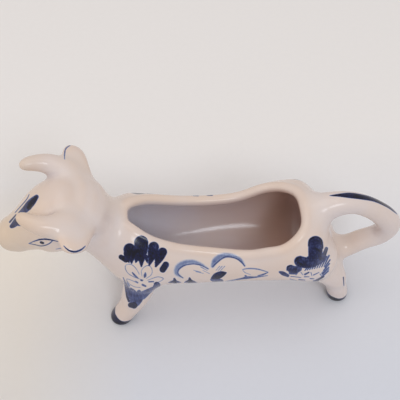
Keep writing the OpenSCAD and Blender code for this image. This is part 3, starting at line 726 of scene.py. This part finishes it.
# %% Strokes on the head, the ears and the tail
EYELIDS = [
    (0.85, 0.5, [(28.7, 243.6, 0.3), (34.3, 241.2, 0.55), (41.5, 239.3, 0.7), (49.4, 239.6, 0.65),
                 (58.2, 241.6, 0.3)]),
    (0.8, 0.5, [(29.5, 243.7, 0.3), (34.3, 244.5, 0.5), (41.5, 246, 0.5), (48.6, 244, 0.5),
                (52.6, 240.6, 0.5)]),
    (1.0, 0.5, [(41, 242.4, 1.2), (43, 243.1, 1.2)]),
    (0.5, 0.5, [(55.8, 249.2, 0.3), (62.2, 248.1, 0.4), (66.5, 248.6, 0.3)])]
BLAZE = [
    (0.72, 0.7, [(36.6, 196.8, 2.2), (31.4, 202.4, 3.9), (25.6, 209, 3.5), (19.6, 212.8, 1.4)]),
    (1.0, 0.9, [(36, 197.6, 1.9), (32.4, 202, 3), (29, 207.6, 2.4)]),
    (0.75, 0.5, [(29.1, 194.4, 0.4), (26.3, 199.8, 0.5), (15.2, 212.4, 0.5)]),
    (0.92, 0.6, [(15.9, 214.9, 0.6), (9.8, 222, 0.9)]),
    (0.78, 0.7, [(15.8, 219, 1.3), (15, 223.4, 3.2), (11.6, 226.3, 2)]),
    (0.72, 0.7, [(16, 223.6, 2.4), (20.6, 225, 1)])]
EAR_EDGE = [
    (0.85, 0.6, [(63.8, 246, 0.3), (68.6, 250.2, 0.7), (74.9, 251.8, 0.9), (81.3, 249.6, 0.8),
                 (85.3, 246, 0.3)])]
TAIL_STROKE = [
    (0.96, 0.8, [(330, 195.6, 0.3), (340, 195.2, 1.6), (350, 195.4, 2.7), (362, 197, 2.5),
                 (375, 200, 1.9), (388, 206.6, 1.2), (397, 214, 0.3)])]
FAR_TUFTS = [
    (0.85, 0.6, [(193.6, 195.2, 0.8), (198, 195.4, 0.8)]),
    (0.85, 0.6, [(207.6, 195, 0.8), (212, 195, 0.8)])]
FAR_EAR = [
    (0.6, 0.5, [(64.6, 159, 0.4), (64.6, 153, 0.6), (66, 148.4, 0.6), (70, 145.4, 0.4)])]
print("head and tail:", len(EYELIDS + BLAZE + EAR_EDGE + TAIL_STROKE + FAR_TUFTS + FAR_EAR), "strokes")

# %% [markdown]
# A group of strokes goes on the members that it is painted on, so a petal on the shoulder doesn't run
# over the leg behind it. Groups on both sides are mirrored, and the blaze on the face, the stroke along
# the tail and the tufts on the far flank are painted once.

# %% Put the pigment on
LEGS = ("front_left_leg", "front_right_leg", "rear_left_leg", "rear_right_leg")
FAR_DROP = 7.0  # steps by which the strokes of the cow's right side sit lower
GROUPS = [  # strokes, members, both sides, least turn towards the eye
    (SHOULDER, ("body_shell", "front_left_leg", "front_right_leg"), True, 0.02),
    (FLANK, ("body_shell",), True, 0.02),
    (HAUNCH, ("body_shell", "rear_left_leg", "rear_right_leg"), True, 0.02),
    (EYELIDS, ("head",), True, 0.0), (BLAZE, ("head",), False, 0.0),
    (EAR_EDGE, ("left_ear", "right_ear"), True, -0.4),
    (TAIL_STROKE, ("tail_handle", "body_shell"), False, -0.1),
    (FAR_TUFTS, ("body_shell",), False, -0.1),
    (FAR_EAR, ("right_ear", "head"), False, -0.2)]


def stroke_distance(places, brush):
    """How far each place is outside the brush stroke: negative inside it."""
    best = np.full(len(places), 99.0)
    for (x0, y0, w0), (x1, y1, w1) in zip(brush[:-1], brush[1:]):
        start, run = np.array([x0, y0]), np.array([x1 - x0, y1 - y0])
        along = np.clip(((places - start) @ run) / max(run @ run, 1e-6), 0, 1)
        gap = np.linalg.norm(places - start - along[:, None] * run, axis=1)
        best = np.minimum(best, gap - (w0 + (w1 - w0) * along))
    return best


def smooth_brush(brush, parts=4):
    """The stroke along a smooth curve through its points."""
    if len(brush) < 3:
        return brush
    return smooth_rows(brush, np.linspace(0, 1, parts * (len(brush) - 1) + 1)).tolist()


def pigment_and_reach(points, normals, names, outside):
    """Strength of the pigment at the points, and how near a stroke each one is."""
    pigment, reach = np.zeros(len(points)), np.full(len(points), 99.0)
    flip = np.where(points[:, 1:2] > 0, -1, 1) * np.array([[0, 1, 0]]) + np.array([[1, 0, 1]])
    for strokes, allowed, both, least in GROUPS:
        own = outside & np.isin(names, allowed)
        p, n = (points * flip, normals * flip) if both else (points, normals)
        own = np.flatnonzero(own & (faces_eye(p, n) > least))
        places = view_places(p[own]) - [[0, FAR_DROP]] * (both * (points[own, 1:2] > 0))
        for strength, soft, brush in strokes:
            low, high = np.min(brush, 0), np.max(brush, 0)
            margin = high[2] + soft + 2
            close = np.all((places > low[:2] - margin) & (places < high[:2] + margin), axis=1)
            rows = own[close]
            gap = stroke_distance(places[close], smooth_brush(brush))
            cover = np.clip(0.5 - gap / (2 * soft) * 1.6, 0, 1)
            cover = strength * cover * cover * (3 - 2 * cover)
            pigment[rows] = np.maximum(pigment[rows], cover)
            reach[rows] = np.minimum(reach[rows], gap)
    return pigment, reach


print(sum(len(g[0]) for g in GROUPS), "strokes in", len(GROUPS), "groups")

# %% Hoof bands
FORE_BAND, HIND_BAND, BAND_LEAN, BAND_WAVE = 5.4, 4.6, 1.4, 0.2
SOLE_H, BAND_SOFT, BAND_LOAD = 3.0, 0.5, 0.97


def hoof_band(points, names):
    """Dark band painted round each hoof, a little uneven as the foot turns under the brush."""
    strength = np.zeros(len(points))
    for leg in LEGS:
        own = names == leg
        foot = points[own]
        if not len(foot):
            continue
        middle = foot[foot[:, 2] < SOLE_H].mean(0)
        turn = np.arctan2(foot[:, 1] - middle[1], foot[:, 0] - middle[0])
        height = FORE_BAND if leg.startswith("front") else HIND_BAND
        top = height - BAND_LEAN * np.cos(turn) + BAND_WAVE * np.sin(5 * turn)
        strength[own] = BAND_LOAD * np.clip((top - foot[:, 2]) / BAND_SOFT + 0.5, 0, 1)
    return strength


print("bands of", FORE_BAND, "and", HIND_BAND, "mm")

# %% [markdown]
# A fine line needs points closer together than the rest of the skin. So only the faces that a stroke
# comes near are divided, and the new points are pulled onto the field like the others.

# %% Divide the painted faces
DEEP_INSIDE = -1.6  # the skin of the hollow lies further in than this
FINE_REACH, ON_FLOOR = 2.0, 0.02


def read_skin():
    points = np.array([v.co for v in skin.verts])
    normals = unit(slope(clay, points))
    outside = sample(outer, points) > DEEP_INSIDE
    return points, normals, outside


skin.verts.ensure_lookup_table()
points, normals, outside = read_skin()
names = members(points)
pigment, reach = pigment_and_reach(points, normals, names, outside)
band_edge = (points[:, 2] > 1) & (points[:, 2] < FORE_BAND + BAND_LEAN + 1)
wanted = (reach < FINE_REACH) | band_edge
skin.verts.index_update()
painted_edges = {e for f in skin.faces if any(wanted[v.index] for v in f.verts) for e in f.edges}
bmesh.ops.subdivide_edges(skin, edges=list(painted_edges), cuts=1, use_grid_fill=True)
print("divided", len(painted_edges), "edges; the skin now has", len(skin.faces), "faces")

# %% Keep pigment, pooling and the hollow in the points
POOL_ROUNDS, POOL_GAIN = 14, 1.6
skin.verts.ensure_lookup_table()
skin.verts.index_update()
on_floor = np.array([v.co.z for v in skin.verts]) < ON_FLOOR
points = np.array([v.co for v in skin.verts])
moved = settle(clay, points, 2)
moved[on_floor] = points[on_floor]
for vert, place in zip(skin.verts, moved.tolist()):
    vert.co = place
points, normals, outside = read_skin()
names = members(points)
pigment, reach = pigment_and_reach(points, normals, names, outside)
pigment = np.maximum(pigment, hoof_band(points, names))
broad = soften(clay, POOL_ROUNDS)
pooling = np.clip((sample(clay, points) - sample(broad, points)) * POOL_GAIN + 0.5, 0, 1)
# How deep a point lies in the hollow, for the painted shade there.
hollow_depth = np.clip(-(sample(outer, points) + 0.8) / 3, 0, 1) * (~outside)
print("pooling from", pooling.min().round(2), "to", pooling.max().round(2))

# %% [markdown]
# ## One visual piece for each member
# The skin is parted by the name of each face. A piece keeps the directions of the whole skin at its
# points, and its cut ends are closed, so that each mesh is a solid by itself.

# %% Part the skin
NECK_EDGE = 0.0012  # metres from the cut in which the neck's two edges lie
skin.faces.ensure_lookup_table()
face_corners = [[v.index for v in f.verts] for f in skin.faces]
face_names = members(np.array([f.calc_center_median() for f in skin.faces]))
skin.free()


def close_ends(mesh, node):
    """Fill the open ends: a flat face in each, and a ring where the neck's wall was cut."""
    work = bmesh.new()
    work.from_mesh(mesh)
    open_edges = [e for e in work.edges if e.is_boundary]
    if node in ("head", "body_shell"):
        point, direction, radius = SEATS["head"]
        p, n = Vector(point * MM), Vector(direction)
        neck_edges = [e for e in open_edges
                      if all(abs((v.co - p).dot(n)) < NECK_EDGE and (v.co - p).length < radius * MM
                             for v in e.verts)]
        bmesh.ops.bridge_loops(work, edges=neck_edges)
        open_edges = [e for e in work.edges if e.is_boundary]
    bmesh.ops.holes_fill(work, edges=open_edges, sides=0)
    left_open = sum(e.is_boundary for e in work.edges)
    work.to_mesh(mesh)
    work.free()
    return left_open


def part_of_skin(node):
    own = np.flatnonzero(face_names == node)
    used = np.unique(np.concatenate([face_corners[k] for k in own]))
    place = np.full(len(points), -1)
    place[used] = np.arange(len(used))
    mesh = bpy.data.meshes.new("glazed_" + node)
    mesh.from_pydata((points[used] * MM).tolist(), [], [place[face_corners[k]].tolist() for k in own])
    for word, values in (("pigment", pigment), ("pooling", pooling), ("hollow_depth", hollow_depth)):
        mesh.attributes.new(word, "FLOAT", "POINT").data.foreach_set("value", values[used].astype(np.float32))
    left_open = close_ends(mesh, node)
    mesh.polygons.foreach_set("use_smooth", np.ones(len(mesh.polygons), bool))
    mesh.normals_split_custom_set_from_vertices(normals[used].tolist())
    piece = bpy.data.objects.new("glazed_" + node, mesh)
    bpy.context.collection.objects.link(piece)
    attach(piece, "root")
    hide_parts(node)
    print(piece.name, len(mesh.polygons), "faces,", left_open, "open edges")
    return piece


pieces = [part_of_skin(node) for node in sorted(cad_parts)]

# %% [markdown]
# ## The glaze
# Under the clear glaze lies a warm white clay. The glaze is thin on ridges, where the clay shows warmer,
# and pools in creases, where it looks cooler. The face has painted warm light that makes it a little
# yellower,
# and the hollow has painted shade: lighter and cool at the chest, darker and brown at the rump. Cobalt turns
# from pale grey-blue where it is thin to almost black where the brush was full, and shows the streaks of the
# brush. A picture could hold all this too, but a node tree stays sharp at any distance. A thin coat over a
# slightly rough base gives the sharp reflections with a soft body under them.

# %% Helpers for the node tree
glaze = bpy.data.materials.new("glazed_earthenware")
glaze.use_nodes = True
tree = glaze.node_tree
shader = tree.nodes["Principled BSDF"]


def feed(target, socket, value):
    """Link another node's output to the socket, or set the socket to a plain value."""
    if isinstance(value, bpy.types.NodeSocket):
        target.links.new(value, socket)
    else:
        socket.default_value = value


def add_node(target, kind, **sockets):
    new = target.nodes.new(kind)
    for name, value in sockets.items():
        feed(target, new.inputs[name.replace("_", " ")], value)
    return new


def math_node(target, operation, first, second=0.0):
    new = target.nodes.new("ShaderNodeMath")
    new.operation = operation
    new.use_clamp = True
    feed(target, new.inputs[0], first)
    feed(target, new.inputs[1], second)
    return new.outputs[0]


def blend_colours(target, share, first, second, kind="MIX"):
    new = target.nodes.new("ShaderNodeMix")
    new.data_type = "RGBA"
    new.blend_type = kind
    feed(target, new.inputs[0], share)
    for socket, colour in ((new.inputs[6], first), (new.inputs[7], second)):
        feed(target, socket, colour if isinstance(colour, bpy.types.NodeSocket) else (*colour, 1))
    return new.outputs[2]


def stretch(target, value, low, high, to_low=0.0, to_high=1.0):
    new = target.nodes.new("ShaderNodeMapRange")
    target.links.new(value, new.inputs["Value"])
    for name, number in (("From Min", low), ("From Max", high), ("To Min", to_low), ("To Max", to_high)):
        new.inputs[name].default_value = number
    return new.outputs["Result"]


def attribute(word):
    new = tree.nodes.new("ShaderNodeAttribute")
    new.attribute_name = word
    return new.outputs["Fac"]


place = tree.nodes.new("ShaderNodeTexCoord").outputs["Object"]
print("node helpers ready")

# %% Colour of the clay through the glaze
CLAY_WARM, CLAY_COOL = (0.755, 0.63, 0.56), (0.74, 0.65, 0.625)
CREASE_TINT, RIDGE_TINT = (0.80, 0.80, 0.86), (1.0, 0.94, 0.88)
# Painted shade in the hollow: lighter and cooler at the chest end, darker and browner at the rump end.
HOLLOW_CHEST_PAINTED_LIGHT, HOLLOW_RUMP_PAINTED_SHADE = (0.98, 1.1, 1.3), (0.72, 0.6, 0.57)
# Painted warm light on the face, as the warm lamp at the left gives it.
FACE_PAINTED_WARM_LIGHT = (0.96, 0.94, 0.84)
cloud_node = add_node(tree, "ShaderNodeTexNoise", Vector=place, Scale=38.0, Detail=3.0, Roughness=0.5)
clouds = cloud_node.outputs["Fac"]
clay_colour = blend_colours(tree, stretch(tree, clouds, 0.35, 0.65), CLAY_WARM, CLAY_COOL)
pool = attribute("pooling")
in_crease = stretch(tree, pool, 0.55, 1.0, 0.0, 0.7)
on_ridge = stretch(tree, pool, 0.45, 0.0, 0.0, 0.8)
clay_colour = blend_colours(tree, in_crease, clay_colour, CREASE_TINT, "MULTIPLY")
clay_colour = blend_colours(tree, on_ridge, clay_colour, RIDGE_TINT, "MULTIPLY")
along_cow = add_node(tree, "ShaderNodeSeparateXYZ", Vector=place).outputs["X"]
# Painted light and shade in the hollow, stronger the deeper the point lies.
hollow_painted_light_and_shade = blend_colours(tree, stretch(tree, along_cow, -0.03, 0.04), HOLLOW_CHEST_PAINTED_LIGHT, HOLLOW_RUMP_PAINTED_SHADE)
clay_colour = blend_colours(tree, attribute("hollow_depth"), clay_colour, hollow_painted_light_and_shade, "MULTIPLY")
# Painted warm light on the face.
on_face = stretch(tree, along_cow, -0.068, -0.088)
clay_colour = blend_colours(tree, on_face, clay_colour, FACE_PAINTED_WARM_LIGHT, "MULTIPLY")
print("clay between", CLAY_WARM, "and", CLAY_COOL)

# %% Cobalt with the streaks of the brush
BRUSH_STREAK = (1400.0, 1400.0, 330.0)
streak_place = add_node(tree, "ShaderNodeMapping", Vector=place, Scale=BRUSH_STREAK).outputs["Vector"]
streaks = add_node(tree, "ShaderNodeTexNoise", Vector=streak_place, Scale=1.0, Detail=2.0).outputs["Fac"]
wash = add_node(tree, "ShaderNodeTexNoise", Vector=place, Scale=260.0, Detail=2.0).outputs["Fac"]
load = attribute("pigment")
thinned = math_node(tree, "MULTIPLY", load, stretch(tree, streaks, 0.3, 0.7, 0.85, 1.08))
thinned = math_node(tree, "MULTIPLY", thinned, stretch(tree, wash, 0.35, 0.65, 0.88, 1.08))
ramp = tree.nodes.new("ShaderNodeValToRGB")
tree.links.new(thinned, ramp.inputs["Fac"])
COBALT = [(0.0, (0.60, 0.63, 0.72)), (0.3, (0.26, 0.31, 0.47)), (0.55, (0.065, 0.09, 0.24)),
          (0.8, (0.006, 0.009, 0.058)), (1.0, (0.001, 0.001, 0.01))]
for k, (stop, colour) in enumerate(COBALT):
    element = ramp.color_ramp.elements[k] if k < 2 else ramp.color_ramp.elements.new(stop)
    element.position = stop
    element.color = (*colour, 1)
cover = stretch(tree, thinned, 0.02, 0.3)
glaze_colour = blend_colours(tree, cover, clay_colour, ramp.outputs["Color"])
tree.links.new(glaze_colour, shader.inputs["Base Color"])
print("cobalt in", len(COBALT), "strengths")

# %% Gloss, waves and pinholes
wave_node = add_node(tree, "ShaderNodeTexNoise", Vector=place, Scale=85.0, Detail=2.0, Roughness=0.45)
waves = math_node(tree, "MULTIPLY", wave_node.outputs["Fac"], 0.6)
grain = add_node(tree, "ShaderNodeTexNoise", Vector=place, Scale=900.0, Detail=2.0).outputs["Fac"]
pinholes = add_node(tree, "ShaderNodeTexVoronoi", Vector=place, Scale=210.0).outputs["Distance"]
surface = math_node(tree, "ADD", waves, math_node(tree, "MULTIPLY", grain, 0.012))
surface = math_node(tree, "ADD", surface, stretch(tree, pinholes, 0.02, 0.06, 0.0, 0.03))
bump = add_node(tree, "ShaderNodeBump", Height=surface, Strength=0.35, Distance=0.0006)
tree.links.new(bump.outputs["Normal"], shader.inputs["Normal"])
tree.links.new(stretch(tree, clouds, 0.3, 0.7, 0.17, 0.25), shader.inputs["Roughness"])
shader.inputs["IOR"].default_value = 1.45
shader.inputs["Coat Weight"].default_value = 0.15
shader.inputs["Specular IOR Level"].default_value = 0.36
shader.inputs["Coat Roughness"].default_value = 0.09
for piece in pieces:
    piece.data.materials.append(glaze)
print("glaze on", len(pieces), "pieces")

# %% [markdown]
# ## Table, light and camera
# The creamer stands on a pale sheet and is seen from above, from its left. The sheet's colour holds painted
# light: it is painted lighter far off, darker and cooler towards the viewer, and warmer at the left, where
# painted warm light falls, and the shadow is faint. A window at the viewer's side leaves the bright strips on
# the glaze, a broad ceiling lamp and the pale room give the even light, and a small warm lamp tints the face.
# One strong sun would be simpler, but its shadow would be hard.

# %% Table
# The sheet's colour holds painted light: lighter and warmer far off, darker and cooler near the viewer, and
# warmer at the left.
TABLE_FAR_PAINTED_LIGHT, TABLE_NEAR_PAINTED_SHADE, LEFT_PAINTED_WARM_LIGHT = (0.87, 0.845, 0.84), (0.67, 0.70, 0.79), (1.05, 0.98, 0.86)
FIBRE_TINT = (0.9, 0.9, 0.9)
bpy.ops.mesh.primitive_plane_add(size=4)
table = bpy.context.object
table.name = "table"
paper = bpy.data.materials.new("pale_table")
paper.use_nodes = True
paper_tree = paper.node_tree
spot = paper_tree.nodes.new("ShaderNodeTexCoord").outputs["Object"]
parts = add_node(paper_tree, "ShaderNodeSeparateXYZ", Vector=spot).outputs
# Painted fall of the light across the sheet, then painted warm light at the left.
table_colour = blend_colours(paper_tree, stretch(paper_tree, parts["Y"], 0.1, -0.09), TABLE_FAR_PAINTED_LIGHT, TABLE_NEAR_PAINTED_SHADE)
to_left = math_node(paper_tree, "MULTIPLY", stretch(paper_tree, parts["X"], -0.04, -0.1),
                    stretch(paper_tree, parts["Y"], 0.08, 0.03))
table_colour = blend_colours(paper_tree, to_left, table_colour, LEFT_PAINTED_WARM_LIGHT, "MULTIPLY")
fibres = add_node(paper_tree, "ShaderNodeTexNoise", Vector=spot, Scale=300.0, Detail=3.0).outputs["Fac"]
fibre_share = stretch(paper_tree, fibres, 0.3, 0.7, 0.0, 0.1)
table_colour = blend_colours(paper_tree, fibre_share, table_colour, FIBRE_TINT, "MULTIPLY")
paper_shader = paper_tree.nodes["Principled BSDF"]
paper_tree.links.new(table_colour, paper_shader.inputs["Base Color"])
paper_shader.inputs["Roughness"].default_value = 0.75
table.data.materials.append(paper)
print("table", table.dimensions.x, "m wide")

# %% Lamps and the pale room
def soft_lamp(name, place, aim, size, power, colour):
    lamp = bpy.data.lights.new(name, "AREA")
    lamp.shape = "RECTANGLE"
    lamp.size, lamp.size_y = size
    lamp.energy = power
    lamp.color = colour
    holder = bpy.data.objects.new(name, lamp)
    holder.location = place
    holder.rotation_euler = (Vector(aim) - Vector(place)).to_track_quat("-Z", "Y").to_euler()
    bpy.context.collection.objects.link(holder)
    return holder


COW_MIDDLE = (0, 0, 0.04)
soft_lamp("window", (0.35, -1.0, 1.15), COW_MIDDLE, (0.5, 0.36), 4.8, (0.87, 0.94, 1.0))
soft_lamp("ceiling", (-0.2, 0.1, 1.5), COW_MIDDLE, (1.2, 1.2), 3.4, (1.0, 0.98, 0.95))
soft_lamp("room_lamp", (-1.3, 0.1, 0.6), COW_MIDDLE, (0.8, 0.8), 2.0, (1.0, 0.82, 0.58))
world = bpy.data.worlds.new("pale_room")
bpy.context.scene.world = world
world.use_nodes = True
world.node_tree.nodes["Background"].inputs["Color"].default_value = (1.0, 0.97, 0.95, 1)
world.node_tree.nodes["Background"].inputs["Strength"].default_value = 0.62
print("three lamps and a pale room")

# %% Camera
camera_data = bpy.data.cameras.new("camera")
camera = bpy.data.objects.new("camera", camera_data)
bpy.context.collection.objects.link(camera)
bpy.context.scene.camera = camera
camera.location = Vector(EYE * MM)
SENSOR = 36.0
camera_data.sensor_width = SENSOR
camera_data.lens = VIEW_STEPS / (2 * VIEW_MIDDLE) * SENSOR
camera_data.clip_start = 0.01
aim = Vector(-VIEW_BACK)
camera.rotation_euler = aim.to_track_quat("-Z", "Y").to_euler()
bpy.context.scene.view_settings.view_transform = "Standard"
print("lens", round(camera_data.lens, 1), "mm")
